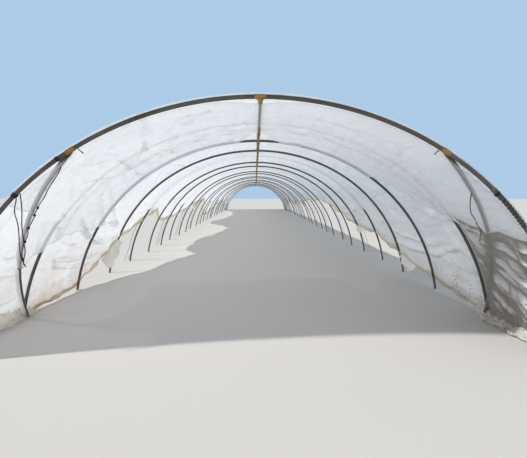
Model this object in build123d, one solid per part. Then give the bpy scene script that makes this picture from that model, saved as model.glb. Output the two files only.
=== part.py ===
from build123d import *
import os
from math import acos, atan2, ceil, cos, degrees, radians, sin, tan

# A walk-in polytunnel of bent steel tube hoops under one long sheet of film, in millimetres.
# X runs across the tunnel, Y along it and Z up. The origin is the middle of the footprint on the
# ground, and the front end is at the low end of Y.

# The run of hoops
bay_length = 1500
bay_count = 26

# The shape of one hoop, along the middle of its tube
span = 6500  # between the middles of the feet
rise = 2650
crown_radius = 3500
crown_half_angle = 33  # the crown arc turns this far each side of the ridge, in degrees
hoop_tube = 42.4
outer_hoop_first = 1  # the hoops that lie over the film
outer_hoop_every = 3

# Tubes that join the hoops
purlin_tube = 33.7
brace_tube = 42.4
brace_top_angle = 31.5  # where the brace meets the end hoop, from the ridge
brace_inset = 4  # how far a brace lies inside the line of the hoops at both of its cuts
brace_bow = 50  # how much further in its middle lies
brace_extra = 5  # the arc of the brace runs this many degrees past its upper cut

# Film, modelled as a thick sheet
film_thickness = 4
film_overhang = 30  # past the middle of each end hoop
contact_gap = 0.3  # between film and tube, and between tubes that are tied together
roof_strip_angle = 22  # where the roof strips end and the shoulder strips begin
shoulder_strip_angle = 44  # where the shoulder strips end and the side strips begin
slit_top_angle = 53  # the film passes from under the outer hoops to outside their legs
slit_bottom_angle = 56
slit_clearance = 6
hem_width = 90

# Where the lower edge of the film is tied up, as (hoop number, share of the slits' height)
left_hem = [(0, 0), (1, 0), (2, 0.08), (3, 0.634), (4, 0.86), (4.5, 1.07), (5, 0.783), (6, 0.783),
            (7, 0.79), (8, 1.035), (9, 1.135), (10, 1.22), (11, 1.02), (12, 0.545), (13, 0.41),
            (14, 0.5), (15, 0.76), (16, 0.84), (17, 0.84), (18, 1.02), (19, 0.83), (20, 0.925),
            (21, 0.75), (22, 0.783), (23, 0.49), (24, 0.086), (25, 0), (26, 0)]
right_hem = [(0, 0), (1, 0), (2, 0.157), (3, 0.36), (4, 0.587), (5, 0.65), (6, 0.87), (7, 1.15),
             (8, 1.236), (9, 1.19), (10, 1.174), (11, 1.174), (12, 1.09), (13, 0.844), (14, 1.017),
             (15, 1.048), (16, 0.844), (17, 0.79), (18, 0.926), (19, 0.83), (20, 0.858), (21, 0.735),
             (22, 0.595), (23, 0.376), (24, 0.068), (25, 0), (26, 0)]

# The slack second layer of film behind the front hoop
apron_bays = 2
apron_past_hoop = 60
apron_left_edge = [(0, 1.25), (0.27, 1.27), (1, 0.75), (2, 0.97)]  # its lower edge, as above
apron_right_edge = [(0, 0.94), (1, 1.134), (2, 1.634)]
apron_crown_angle = 11.5  # where its crown strip ends and its shoulder strips begin
apron_shoulder_angle = 30  # where its shoulder strips end and its side strips begin
apron_drop_angle = 38  # from here down the side strips hang inside the braces
apron_clearance = 20  # between a side strip and the middle of a brace
apron_notch_half_width = 400  # the open notch at the ridge, back from the first hoop

# Taut ropes over the film, and loose ropes at the front
rope_width = 8
rope_from_hoop = 150
rope_step_angle = 8
rope_foot_height = 12
rope_foot_out = 60
cord_width = 10
cord_arc_share = 0.45  # an arc takes this share of the shorter run beside it
# The two strands that hang from the front hoop, each from its own angle, as (inward, back, down)
long_strand_angle = 44.6
long_strand = [(0, -1, 0), (2, -8, 45), (-17, -12, 102), (-20, -8, 160), (1, -2, 245), (4, 4, 345),
               (1, 2, 448), (6, -4, 545), (21, -2, 621), (51, 4, 685)]
short_strand_angle = 43.6
short_strand = [(0, 1, 0), (-1, 14, 66), (-2, 18, 131), (-4, 22, 196), (-14, 24, 271),
                (-16, 26, 345), (-11, 28, 421), (-6, 26, 484), (12, 20, 581), (-13, 14, 657)]
# The ropes along the front braces, as (angle from the ridge, inward, back)
left_brace_rope = [(35.5, 26.6, 0), (37, 28, 30), (38.8, 32, 26), (40.6, 22, 48), (42, 16, 62),
                   (43.2, 20, 74), (44.4, 18, 70), (46, 14, 52), (47, 31, 30), (47.9, 34, 8),
                   (49, 28, 48), (50.2, 35, 20), (51.4, 35, 2), (52.5, 35, -12), (53.7, 31, 30),
                   (55.2, 34, 12), (56.8, 34, -16), (59, 34, -24), (60.8, 36, -10), (61.8, 38, 30),
                   (63.2, 33, 34)]
right_brace_rope = [(42.5, 26.6, 0), (43.9, 18, 80), (45.6, 14, 150), (47.4, 12, 205),
                    (49, 10, 225), (50.2, 12, 165), (51.8, 12, 190), (53.2, 16, 100),
                    (55, 14, 170), (57, 14, 205)]

# Worked out from the sizes above
length = bay_length * bay_count
front = -length / 2
rear = length / 2
hoop_r = hoop_tube / 2
purlin_r = purlin_tube / 2
brace_r = brace_tube / 2
film_offset = hoop_r + contact_gap  # the inner face of the film, out from the middle of a tube
outer_hoop_offset = film_offset + film_thickness + contact_gap + hoop_r
side_offset = outer_hoop_offset + hoop_r + contact_gap  # the inner face below the slits
purlin_height = rise - hoop_r - contact_gap - purlin_r
apron_offset = -(hoop_r + purlin_tube + 2 * contact_gap + film_thickness)
apron_side_offset = -(brace_inset + brace_bow + brace_r + apron_clearance + film_thickness)
below_ground = 200  # how far leaning tubes run down before they are cut off at the ground


def turn(angle):
    """The outward direction at an angle from the ridge."""
    return sin(radians(angle)), cos(radians(angle))


def foot_turn():
    """The angle at which the side arc, tangent to the crown arc, reaches a foot."""
    across = span / 2 - crown_radius * turn(crown_half_angle)[0]
    down = rise - crown_radius * (1 - turn(crown_half_angle)[1])
    return 2 * degrees(atan2(down, across)) - crown_half_angle


def side_arc_radius():
    """The radius of the side arc, which starts at the end of the crown arc."""
    sin_crown = turn(crown_half_angle)[0]
    return (span / 2 - crown_radius * sin_crown) / (turn(foot_turn())[0] - sin_crown)


side_radius = side_arc_radius()
crown_centre = (0, rise - crown_radius)
side_centre = (
    (crown_radius - side_radius) * turn(crown_half_angle)[0],
    crown_centre[1] + (crown_radius - side_radius) * turn(crown_half_angle)[1],
)


def arch(offset, angle, side=1, y=0.0):
    """A point that lies offset outside the hoop's line, at an angle from the ridge."""
    centre, radius = crown_centre, crown_radius
    if angle >= crown_half_angle:
        centre, radius = side_centre, side_radius
    out, up = turn(angle)
    return Vector(
        side * (centre[0] + (radius + offset) * out), y, centre[1] + (radius + offset) * up
    )


def angle_at(offset, height):
    """The angle from the ridge at which the offset side arc is at a height."""
    return degrees(acos((height - side_centre[1]) / (side_radius + offset)))


def arcs(offset, first, last, side=1, y=0.0):
    """Arcs along the offset line between two angles, in one or two pieces."""
    stops = [first, last]
    if first < crown_half_angle < last:
        stops = [first, crown_half_angle, last]
    made = []
    for low, high in zip(stops, stops[1:]):
        middle = arch(offset, (low + high) / 2, side, y)
        made += [ThreePointArc(arch(offset, low, side, y), middle, arch(offset, high, side, y))]
    return made


def hoop_line(offset):
    """The whole line of a hoop, from foot to foot and some way into the ground."""
    low = angle_at(offset, -below_ground)
    left_side = arcs(offset, crown_half_angle, low, -1)
    crown = ThreePointArc(
        arch(offset, crown_half_angle, -1), arch(offset, 0), arch(offset, crown_half_angle)
    )
    right_side = arcs(offset, crown_half_angle, low)
    return Wire([*left_side, crown, *right_side])


def tube_along(line, radius):
    """A round bar swept along a line."""
    return sweep(Plane(origin=line @ 0, z_dir=line % 0) * Circle(radius), path=line)


def above_ground(shape):
    return split(shape, bisect_by=Plane.XY, keep=Keep.TOP)


def hoop(offset):
    """One bent hoop, cut off flat at the ground."""
    return above_ground(tube_along(hoop_line(offset), hoop_r))


def hoop_y(number):
    return front + number * bay_length


def is_outer(number):
    return number % outer_hoop_every == outer_hoop_first


def save(shape, node):
    export_step(shape, f"parts/{node}.step")


def strip_section(first, last, side):
    """The end face of a strip of film between two angles."""
    inner = arcs(film_offset, first, last, side)
    outer = arcs(film_offset + film_thickness, first, last, side)
    ends = [
        Line(arch(film_offset, angle, side), arch(film_offset + film_thickness, angle, side))
        for angle in (first, last)
    ]
    return make_face([*inner, *outer, *ends])


def side_lines(depth, side):
    """The lines of the side film: under the outer hoops, out through the slits, and down."""
    above = film_offset + depth
    below = side_offset + depth
    return [
        *arcs(above, shoulder_strip_angle, slit_top_angle, side),
        Line(arch(above, slit_top_angle, side), arch(below, slit_bottom_angle, side)),
        *arcs(below, slit_bottom_angle, angle_at(below, 0), side),
    ]


def side_section(side):
    outer_offset = side_offset + film_thickness
    ends = [
        Line(
            arch(film_offset, shoulder_strip_angle, side),
            arch(film_offset + film_thickness, shoulder_strip_angle, side),
        ),
        Line(
            arch(side_offset, angle_at(side_offset, 0), side),
            arch(outer_offset, angle_at(outer_offset, 0), side),
        ),
    ]
    return make_face([*side_lines(0, side), *side_lines(film_thickness, side), *ends])


def along_tunnel(section):
    """A strip as long as the film."""
    whole = extrude(section, length + 2 * film_overhang, dir=(0, 1, 0))
    return Pos(0, front - film_overhang, 0) * whole


def edge_points(shares, last_hoop, lift):
    """Where an edge runs, as (Y, Z), between the ends of the film."""
    slit_height = arch(side_offset, slit_bottom_angle).Z
    points = [
        (hoop_y(n), share * slit_height + lift if share else -hem_width) for n, share in shares
    ]
    points = [p for p in points if p[0] <= hoop_y(last_hoop)]
    return [(front - length, points[0][1]), *points, (rear + length, points[-1][1])]


def below_edge(shares, last_hoop, lift, side):
    """The space below an edge on one side, to be cut away."""
    line = edge_points(shares, last_hoop, lift)
    lowest = -2 * hem_width
    corners = [(line[0][0], lowest), *line, (line[-1][0], lowest)]
    face = make_face(Polyline(*[(0, y, z) for y, z in corners], close=True))
    return extrude(face, span, dir=(side, 0, 0))


def slit(number, side):
    """The hole through which an outer hoop passes into the tunnel."""
    middle = (slit_top_angle + slit_bottom_angle) / 2
    top = arch(outer_hoop_offset, slit_top_angle, side)
    bottom = arch(outer_hoop_offset, slit_bottom_angle, side)
    place = Plane(origin=arch(outer_hoop_offset, middle, side, hoop_y(number)), z_dir=top - bottom)
    depth = (top - bottom).length + 4 * slit_clearance
    return place * Cylinder(hoop_r + slit_clearance, depth)


def outer_hoops():
    return [n for n in range(bay_count + 1) if is_outer(n)]


def side_film(shares, side):
    """The side strip and its folded hem."""
    whole = along_tunnel(side_section(side))
    whole = whole - [slit(n, side) for n in outer_hoops()]
    open_film = whole - below_edge(shares, bay_count, 0, side)
    hem = open_film & below_edge(shares, bay_count, hem_width, side)
    film = open_film - below_edge(shares, bay_count, hem_width, side)
    return film, hem


def brace_point(angle, inset, side, from_y, to_y):
    """A point on the middle of a brace, which rises as it nears the end hoop."""
    top = arch(-brace_inset, brace_top_angle)
    here = arch(-inset, angle, side)
    return Vector(here.X, from_y + (to_y - from_y) * here.Z / top.Z, here.Z)


def brace_angles():
    """The angles at which the arc of a brace starts and ends, past both of its cuts."""
    return angle_at(-brace_inset, -below_ground), brace_top_angle - brace_extra


def bowed_inset(angle, low):
    """How far in a brace lies at an angle: brace_inset at both cuts and more between."""
    turned = low - brace_top_angle
    share = 4 * (low - angle) * (angle - brace_top_angle) / turned**2
    return brace_inset + brace_bow * share


def brace_line(side, from_y, to_y):
    low, high = brace_angles()
    stops = (low, (low + high) / 2, high)
    points = [brace_point(angle, bowed_inset(angle, low), side, from_y, to_y) for angle in stops]
    return Wire([ThreePointArc(*points)])


def brace(side, from_y, to_y):
    """A curved brace, cut off at the ground and where it meets the end hoop."""
    whole = above_ground(tube_along(brace_line(side, from_y, to_y), brace_r))
    toward = 1 if from_y > to_y else -1
    face = to_y + toward * (hoop_r + contact_gap)
    return split(whole, bisect_by=Plane(origin=(0, face, 0), z_dir=(0, toward, 0)), keep=Keep.TOP)


def apron_strip(inner, outer):
    """A strip of the slack layer between its two lines, as long as the layer."""
    ends = [Line(inner[0] @ 0, outer[0] @ 0), Line(inner[-1] @ 1, outer[-1] @ 1)]
    start = front + hoop_r + contact_gap
    end = hoop_y(apron_bays) + apron_past_hoop
    strip = extrude(make_face([*inner, *outer, *ends]), end - start, dir=(0, 1, 0))
    return Pos(0, start, 0) * strip - apron_notch()


def apron_notch():
    """The V at the ridge where the slack layer parts, back from the first hoop."""
    start = hoop_y(1) + apron_past_hoop
    end = hoop_y(apron_bays) + 2 * apron_past_hoop
    corners = [(0, start, 0), (apron_notch_half_width, end, 0), (-apron_notch_half_width, end, 0)]
    return extrude(make_face(Polyline(*corners, close=True)), 2 * rise, dir=(0, 0, 1))


def apron_side_lines(depth, side):
    """The line of a side strip, in behind the brace and down."""
    low = apron_side_offset + depth
    start = arch(apron_offset + depth, apron_shoulder_angle, side)
    drop = Line(start, arch(low, apron_drop_angle, side))
    return [drop, *arcs(low, apron_drop_angle, angle_at(low, 0), side)]


def apron_side(shares, side):
    """A side strip, cut off along its uneven lower edge."""
    strip = apron_strip(apron_side_lines(0, side), apron_side_lines(film_thickness, side))
    return strip - below_edge(shares, apron_bays, 0, side)


def apron_shoulder(side):
    inner = arcs(apron_offset, apron_crown_angle, apron_shoulder_angle, side)
    outer = arcs(apron_offset + film_thickness, apron_crown_angle, apron_shoulder_angle, side)
    return apron_strip(inner, outer)


def apron_crown():
    halves = [
        apron_strip(
            arcs(apron_offset, 0, apron_crown_angle, side),
            arcs(apron_offset + film_thickness, 0, apron_crown_angle, side),
        )
        for side in (-1, 1)
    ]
    return halves[0] + halves[1]


def hold_down_rope(number):
    """One taut rope, slantwise over the film of a bay, in short straight runs."""
    half_step = rope_step_angle / 2
    lift = crown_radius * (1 / cos(radians(half_step)) - 1)
    above = film_offset + film_thickness + contact_gap + rope_width / 2 + lift
    below = side_offset + film_thickness + contact_gap + rope_width / 2 + lift
    upper = [arch(above, a) for a in range(rope_step_angle, slit_top_angle, rope_step_angle)]
    foot_angle = angle_at(below, rope_foot_height)
    steps = ceil((foot_angle - slit_bottom_angle) / rope_step_angle)
    step = (foot_angle - slit_bottom_angle) / steps
    lower = [arch(below, slit_bottom_angle + k * step) for k in range(steps)]
    right = [*upper, *lower, arch(below, foot_angle) + Vector(rope_foot_out, 0, 0)]
    left = [Vector(-p.X, p.Y, p.Z) for p in reversed(right)]
    points = [*left, arch(above, 0), *right]
    start, end = hoop_y(number) + rope_from_hoop, hoop_y(number + 1) - rope_from_hoop
    if number % 2:
        start, end = end, start
    slope = (end - start) / (points[-1].X - points[0].X)
    line = Polyline(*[(p.X, start + (p.X - points[0].X) * slope, p.Z) for p in points])
    section = Plane(origin=line @ 0, z_dir=line % 0) * RegularPolygon(rope_width / 2, 6)
    return sweep(section, path=line, transition=Transition.RIGHT)


def strand(points, angle):
    """The route of a rope that hangs from the front hoop."""
    seat = hoop_r + contact_gap + cord_width / 2 * turn(angle)[0]
    top = arch(-seat, angle, -1, front)
    return [top + Vector(inward, back, -down) for inward, back, down in points]


def beside_brace(points, side):
    """The route of a rope that lies along a front brace."""
    line = brace_line(side, hoop_y(1), front)
    low, high = brace_angles()
    route = []
    for angle, inward, back in points:
        out, up = turn(angle)
        here = line @ ((low - angle) / (low - high))
        route += [here + Vector(-side * inward * out, back, -inward * up)]
    return route


def cord(points):
    """A loose rope, as straight runs joined by tangent arcs."""
    runs = [(b - a) for a, b in zip(points, points[1:])]
    radii = []
    for before, after in zip(runs, runs[1:]):
        half_turn = radians(before.get_angle(after)) / 2
        radii += [cord_arc_share * min(before.length, after.length) / tan(half_turn)]
    line = FilletPolyline(*points, radius=radii)
    print("rope", round(sum(r.length for r in runs)), "mm, radii", [round(r) for r in radii])
    return tube_along(line, cord_width / 2)


os.makedirs("parts", exist_ok=True)

inner_hoop = hoop(0)
outer_hoop = hoop(outer_hoop_offset)
for number in range(bay_count + 1):
    name = f"hoop_{number:02d}"
    if number == 0:
        name = "front_end_hoop"
    if number == bay_count:
        name = "rear_end_hoop"
    save(Pos(0, hoop_y(number), 0) * (outer_hoop if is_outer(number) else inner_hoop), name)

purlin = Cylinder(purlin_r, length + hoop_tube, rotation=(90, 0, 0))
save(Pos(0, 0, purlin_height) * purlin, "ridge_purlin")

save(brace(-1, hoop_y(1), front), "front_left_brace")
save(brace(1, hoop_y(1), front), "front_right_brace")
save(brace(-1, hoop_y(bay_count - 1), rear), "rear_left_brace")
save(brace(1, hoop_y(bay_count - 1), rear), "rear_right_brace")

for side, word, shares in ((-1, "left", left_hem), (1, "right", right_hem)):
    roof = along_tunnel(strip_section(0, roof_strip_angle, side))
    shoulder = along_tunnel(strip_section(roof_strip_angle, shoulder_strip_angle, side))
    film, hem = side_film(shares, side)
    save(roof, f"{word}_roof_film")
    save(shoulder, f"{word}_shoulder_film")
    save(film, f"{word}_side_film")
    save(hem, f"{word}_hem")

save(apron_crown(), "front_apron_crown_film")
save(apron_shoulder(-1), "front_left_apron_shoulder_film")
save(apron_shoulder(1), "front_right_apron_shoulder_film")
save(apron_side(apron_left_edge, -1), "front_left_apron_side_film")
save(apron_side(apron_right_edge, 1), "front_right_apron_side_film")
save(cord(strand(long_strand, long_strand_angle)), "front_left_rope_long")
save(cord(strand(short_strand, short_strand_angle)), "front_left_rope_short")
save(cord(beside_brace(left_brace_rope, -1)), "front_left_brace_rope")
save(cord(beside_brace(right_brace_rope, 1)), "front_right_brace_rope")
save(Compound([hold_down_rope(n) for n in range(bay_count)]), "hold_down_ropes")
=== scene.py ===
# %% [markdown]
# A field polytunnel is a row of bent steel hoops under one very long sheet of pale film. This
# lesson dresses a finished frame: the steel is already there at its true size, and what is left is
# the film with its folds, the tape and rope that hold things together, and every surface finish.
# Units are metres. X runs across the tunnel, Y along it, Z is up, and the front end is at low Y.

# %% Load the frame
import math
import random

import bpy
import numpy as np
from mathutils import Matrix, Vector, noise


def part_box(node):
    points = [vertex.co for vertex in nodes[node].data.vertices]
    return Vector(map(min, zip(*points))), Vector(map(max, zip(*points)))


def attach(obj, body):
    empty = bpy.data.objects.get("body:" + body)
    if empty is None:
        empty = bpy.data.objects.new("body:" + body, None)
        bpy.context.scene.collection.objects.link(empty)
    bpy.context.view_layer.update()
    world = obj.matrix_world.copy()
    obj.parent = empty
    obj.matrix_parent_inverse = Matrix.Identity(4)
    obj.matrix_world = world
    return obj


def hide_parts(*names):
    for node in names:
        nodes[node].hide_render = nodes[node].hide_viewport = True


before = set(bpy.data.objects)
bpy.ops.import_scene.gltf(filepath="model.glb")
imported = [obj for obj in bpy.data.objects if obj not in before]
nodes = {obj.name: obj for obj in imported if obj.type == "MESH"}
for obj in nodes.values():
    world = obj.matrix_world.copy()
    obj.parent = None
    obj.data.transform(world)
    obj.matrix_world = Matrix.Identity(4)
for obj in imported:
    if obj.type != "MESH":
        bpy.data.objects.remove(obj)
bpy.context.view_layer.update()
hoop_names = sorted(n for n in nodes if n.startswith("hoop_") or n.endswith("end_hoop"))
print("nodes", len(nodes), "hoops", len(hoop_names))

# %% [markdown]
# Everything that is placed later follows the line of a hoop, so its sizes come first. A hoop is
# three arcs that flow into each other: a wide crown and two tighter sides that run to the ground.
# The tube's width and the place of the end hoops are measured on the frame itself. From the second
# hoop on, every third one lies over the film, and its legs come in through slits.

# %% Sizes of the hoops
BAY = 1.5
low_corner, high_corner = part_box("front_end_hoop")
TUBE = high_corner.y - low_corner.y
TUBE_R = TUBE / 2
FRONT = (low_corner.y + high_corner.y) / 2
REAR = -FRONT
BAYS = round((REAR - FRONT) / BAY)
SPAN = 6.5
RISE = high_corner.z - TUBE_R
CROWN_R = 3.5
CROWN_END = math.radians(33)
OUTER_EVERY = 3
FILM_OUT = TUBE_R + 0.0005
SIDE_OUT = 0.0705
SLIT_TOP, SLIT_LOW = math.radians(53), math.radians(56)
across = SPAN / 2 - CROWN_R * math.sin(CROWN_END)
down = RISE - CROWN_R * (1 - math.cos(CROWN_END))
foot_turn = 2 * math.atan2(down, across) - CROWN_END
SIDE_R = across / (math.sin(foot_turn) - math.sin(CROWN_END))
CROWN_CENTRE = (0.0, RISE - CROWN_R)
SIDE_CENTRE = (
    (CROWN_R - SIDE_R) * math.sin(CROWN_END),
    CROWN_CENTRE[1] + (CROWN_R - SIDE_R) * math.cos(CROWN_END),
)
print("bays", BAYS, "tube", round(TUBE, 4), "side radius", round(SIDE_R, 3))


def hoop_y(number):
    return FRONT + BAY * number


def arch(out, angle, side=1, y=0.0):
    """A point beside the hoop's line, at an angle from the ridge in radians."""
    centre, radius = (CROWN_CENTRE, CROWN_R) if angle < CROWN_END else (SIDE_CENTRE, SIDE_R)
    return Vector((
        side * (centre[0] + (radius + out) * math.sin(angle)),
        y,
        centre[1] + (radius + out) * math.cos(angle),
    ))


def angle_at(out, height):
    return math.acos((height - SIDE_CENTRE[1]) / (SIDE_R + out))


def hoop_direction(angle, side):
    return Vector((side * math.cos(angle), 0, -math.sin(angle)))


def hoop_outward(angle, side):
    return Vector((side * math.sin(angle), 0, math.cos(angle)))


def noise_at(x, y, z):
    """Smooth noise between about -1 and 1, the same every time."""
    return noise.noise(Vector((x, y, z)))


# %% [markdown]
# A helper puts each new object in the scene. The camera stands where the photograph was taken:
# under four metres in front of the first hoop, at eye height, tilted a little down. Its three axes
# are worked out from pitch, yaw and roll, and written into the camera's matrix as columns.


# %% Camera
def put_in_scene(name, data):
    thing = bpy.data.objects.new(name, data)
    bpy.context.scene.collection.objects.link(thing)
    return thing


EYE = Vector((-0.047, FRONT - 3.707, 1.718))
PITCH, YAW, ROLL = math.radians(5.28), math.radians(1.22), math.radians(-0.08)
forward = Vector((
    math.sin(YAW) * math.cos(PITCH), math.cos(YAW) * math.cos(PITCH), -math.sin(PITCH)
))
level_right = Vector((math.cos(YAW), -math.sin(YAW), 0))
level_up = level_right.cross(forward)
cam_right = math.cos(ROLL) * level_right - math.sin(ROLL) * level_up
cam_up = math.sin(ROLL) * level_right + math.cos(ROLL) * level_up
cam_data = bpy.data.cameras.new("camera")
cam_data.lens = 25.69
cam_data.sensor_width = 36
cam_data.clip_end = 400
camera = put_in_scene("camera", cam_data)
turned = Matrix((cam_right, cam_up, -forward)).transposed().to_4x4()
turned.translation = EYE
camera.matrix_world = turned
bpy.context.scene.camera = camera
print("camera at", [round(v, 3) for v in EYE])

# %% [markdown]
# A material is a small tree of nodes. A few helpers keep the trees short: one starts a material,
# and the others add a mask, a blend of two colours or a bump. A mask is a number from 0 to 1 that
# says how much of something shows. All patterns read Object coordinates, because each piece keeps
# its place in its mesh, so one metre of pattern is one metre of film or steel.


# %% Helpers for materials
def new_material(name, color, roughness, metallic=0.0, specular=0.5):
    mat = bpy.data.materials.new(name)
    mat.use_nodes = True
    tree = mat.node_tree
    shader = tree.nodes["Principled BSDF"]
    shader.inputs["Base Color"].default_value = (*color, 1)
    shader.inputs["Roughness"].default_value = roughness
    shader.inputs["Metallic"].default_value = metallic
    shader.inputs["Specular IOR Level"].default_value = specular
    return mat, tree, shader


def link(tree, out_socket, in_socket):
    tree.links.new(out_socket, in_socket)


def coords(tree, scale=(1, 1, 1)):
    source = tree.nodes.new("ShaderNodeTexCoord")
    mapping = tree.nodes.new("ShaderNodeMapping")
    mapping.inputs["Scale"].default_value = scale
    link(tree, source.outputs["Object"], mapping.inputs["Vector"])
    return mapping.outputs["Vector"]


def range_mask(tree, value, low, high):
    """0 where the value is low and 1 where it is high. Low may be the larger number."""
    ramp = tree.nodes.new("ShaderNodeMapRange")
    ramp.inputs["From Min"].default_value = low
    ramp.inputs["From Max"].default_value = high
    link(tree, value, ramp.inputs["Value"])
    return ramp.outputs["Result"]


def split_mask(tree, vector, axis, low, high):
    """A mask from one axis of a vector."""
    split = tree.nodes.new("ShaderNodeSeparateXYZ")
    link(tree, vector, split.inputs["Vector"])
    return range_mask(tree, split.outputs[axis], low, high)


def noise_mask(tree, where, scale, low, high, detail=4.0, rough=0.55):
    """A cloudy mask, which opens between two levels of the noise."""
    cloud = tree.nodes.new("ShaderNodeTexNoise")
    cloud.inputs["Scale"].default_value = scale
    cloud.inputs["Detail"].default_value = detail
    cloud.inputs["Roughness"].default_value = rough
    link(tree, where, cloud.inputs["Vector"])
    return range_mask(tree, cloud.outputs["Fac"], low, high)


def times(tree, first, second):
    node = tree.nodes.new("ShaderNodeMath")
    node.operation = "MULTIPLY"
    for socket, value in zip(node.inputs, (first, second)):
        if isinstance(value, (int, float)):
            socket.default_value = value
        else:
            link(tree, value, socket)
    return node.outputs[0]


def blend_color(tree, mask, first, second):
    """The second colour where the mask is 1. Each may be a colour or a socket."""
    mix = tree.nodes.new("ShaderNodeMix")
    mix.data_type = "RGBA"
    link(tree, mask, mix.inputs["Factor"])
    sockets = [s for s in mix.inputs if s.type == "RGBA"]
    for socket, value in zip(sockets, (first, second)):
        if isinstance(value, tuple):
            socket.default_value = (*value, 1)
        else:
            link(tree, value, socket)
    return next(s for s in mix.outputs if s.type == "RGBA")


def layer(tree, tone, mask, share, color):
    """One more colour over a tone, as strong as its share where the mask is 1."""
    return blend_color(tree, times(tree, mask, share), tone, color)


def within(tree, mask, where, *limits):
    """A mask cut off along axes. A limit is an axis, where it starts and where it is full."""
    for axis, start, full in limits:
        mask = times(tree, mask, split_mask(tree, where, axis, start, full))
    return mask


def darker(color, share):
    return tuple(share * c for c in color)


def bump(tree, height, distance, strength=1.0, normal=None):
    node = tree.nodes.new("ShaderNodeBump")
    node.inputs["Distance"].default_value = distance
    node.inputs["Strength"].default_value = strength
    link(tree, height, node.inputs["Height"])
    if normal is not None:
        link(tree, normal, node.inputs["Normal"])
    return node.outputs["Normal"]


# %% [markdown]
# Galvanised tube that has stood in a field for years is dull and nearly black-green, with brown
# stains where water runs and dust on its upper side. The underside of each hoop is browner. Three
# noise masks do this: broad colour patches, small rust spots and a fine grain for the roughness.

# %% Steel finish
DARK_STEEL, PALE_STEEL = (0.066, 0.072, 0.07), (0.125, 0.13, 0.125)
RUST, WATER_STAIN, SOIL = (0.15, 0.075, 0.035), (0.2, 0.1, 0.055), (0.24, 0.15, 0.1)


def make_steel():
    mat, tree, shader = new_material("weathered_steel", (0.1, 0.105, 0.1), 0.55, 0.35, 0.4)
    where = coords(tree)
    patches = noise_mask(tree, where, 3.5, 0.35, 0.68)
    spots = noise_mask(tree, where, 38.0, 0.56, 0.7, detail=6.0)
    streaks = noise_mask(tree, coords(tree, scale=(1, 1, 0.25)), 55.0, 0.4, 0.75)
    tone = blend_color(tree, patches, DARK_STEEL, PALE_STEEL)
    tone = layer(tree, tone, spots, 0.75, RUST)
    facing = tree.nodes.new("ShaderNodeNewGeometry")
    under = split_mask(tree, facing.outputs["Normal"], "Z", -0.35, -0.85)
    tone = layer(tree, tone, under, 0.6, WATER_STAIN)
    soiled = noise_mask(tree, where, 11.0, 0.3, 0.6)
    tone = layer(tree, tone, within(tree, soiled, where, ("Z", 0.5, 0.0)), 0.7, SOIL)
    link(tree, tone, shader.inputs["Base Color"])
    link(tree, range_mask(tree, streaks, -0.6, 1.4), shader.inputs["Roughness"])
    link(tree, bump(tree, spots, 0.0006), shader.inputs["Normal"])
    return mat


steel = make_steel()

# %% [markdown]
# The film is polyethylene, a fifth of a millimetre thick. Light goes three ways in it: some comes
# back (a diffuse shader), more comes through but scattered (a translucent shader), and a little
# goes straight through (a transparent shader), so that tubes behind it show as soft grey lines. A
# gloss on top catches the folds. Dust makes the lower part browner. The flanks of folds that face
# down are darkened as painted shade, and those that face up are lightened as painted highlights.
# At the front right corner there are specks of mud, the film below the apron's edge is darkened
# brown-grey as painted shade, and one ochre stain is on the left.

# %% Film finish
DUST, SPLASH, MUD = (0.56, 0.44, 0.34), (0.42, 0.3, 0.2), (0.09, 0.06, 0.04)
# Painted shade below the apron's edge, an ochre stain, and the painted highlight of fold flanks.
PAINTED_APRON_SHADE, OCHRE, PAINTED_HIGHLIGHT = (0.36, 0.305, 0.27), (0.5, 0.36, 0.14), (0.98, 0.98, 0.98)
STAIN_AT = (-3.3, FRONT + 1.08, 0.54)
MUD_LIMITS = ("Z", 0.95, 0.4), ("X", 2.2, 3.0), ("Y", FRONT + 3.6, FRONT + 2.4)
PAINTED_APRON_SHADE_LIMITS = ("X", 2.75, 3.0), ("Y", FRONT + 1.75, FRONT + 1.3), ("Z", 1.5, 1.3)


def attribute_mask(tree, name, low, high):
    source = tree.nodes.new("ShaderNodeAttribute")
    source.attribute_name = name
    return range_mask(tree, source.outputs["Fac"], low, high)


def spot_mask(tree, where, middle, inner, outer):
    """A soft spot round a point, 1 inside the inner radius and 0 past the outer one."""
    gap = tree.nodes.new("ShaderNodeVectorMath")
    gap.operation = "DISTANCE"
    gap.inputs[1].default_value = middle
    link(tree, where, gap.inputs[0])
    return range_mask(tree, gap.outputs["Value"], outer, inner)


# Mud_and_shade scales both the real mud splash and the painted shade below the apron.
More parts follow.
